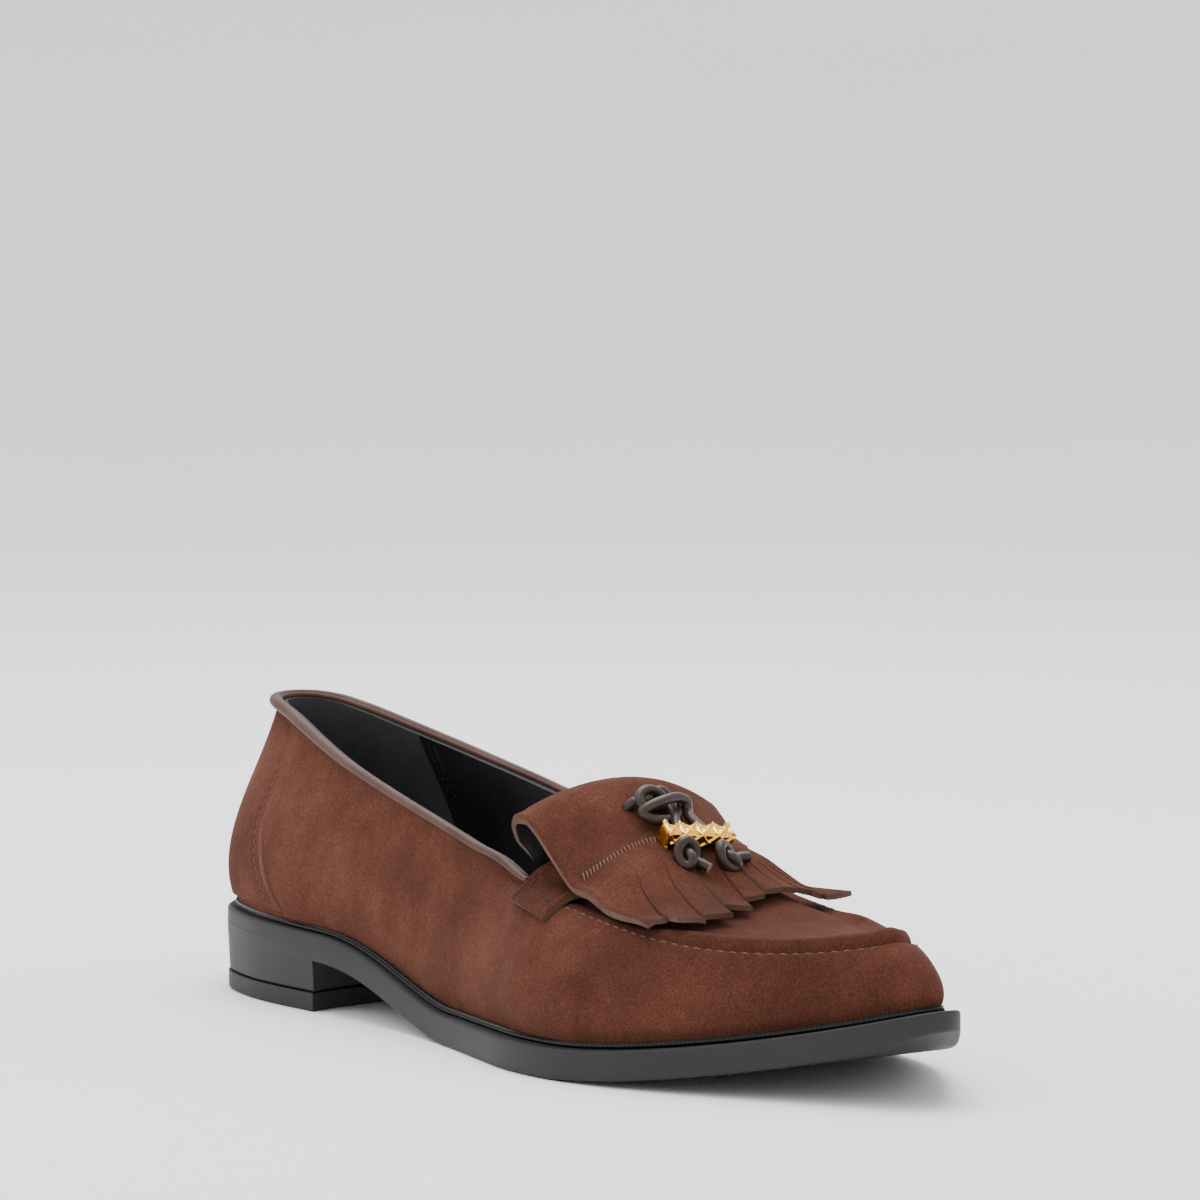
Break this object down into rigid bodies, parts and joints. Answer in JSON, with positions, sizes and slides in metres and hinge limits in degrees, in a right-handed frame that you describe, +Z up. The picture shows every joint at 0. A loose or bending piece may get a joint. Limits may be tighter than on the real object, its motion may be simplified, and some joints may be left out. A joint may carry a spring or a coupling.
{
  "type": "kiltie loafer, right shoe",
  "caption": "Pointed-toe slip-on shoe with a raised apron seam, folded fringed tongue, knotted cord with a metal bar, and a low stacked heel.",
  "frame": {"origin": "middle of the shoe's footprint box, on the floor that the heel and tread stand on", "axes": "+X from heel to toe, +Y to the inner (medial) side, +Z up"},
  "size_m": [0.2598, 0.085, 0.0703],
  "materials": {
    "outsole": "dark grey moulded rubber, satin",
    "top_lift": "dark grey rubber, satin",
    "welt": "black ribbed strip, matt",
    "insole": "black lining leather, matt",
    "upper": "brown suede, napped, matt",
    "back_stay": "brown suede, napped, matt",
    "collar_binding": "taupe binding leather, low sheen",
    "saddle_strap": "brown suede, napped, matt",
    "kiltie": "brown suede, napped, matt, fringed",
    "metal_bar": "gold-coloured metal, polished, faceted",
    "tassel_cord": "dark brown-grey waxed round cord, low gloss"
  },
  "bodies": {
    "root": {"outsole": "outsole", "top_lift": "top_lift", "welt": "welt", "insole": "insole", "upper": "upper", "back_stay": "back_stay", "collar_binding": "collar_binding", "saddle_strap": "saddle_strap", "kiltie": "kiltie", "metal_bar": "metal_bar", "tassel_cord": "tassel_cord"}
  },
  "joints": []
}
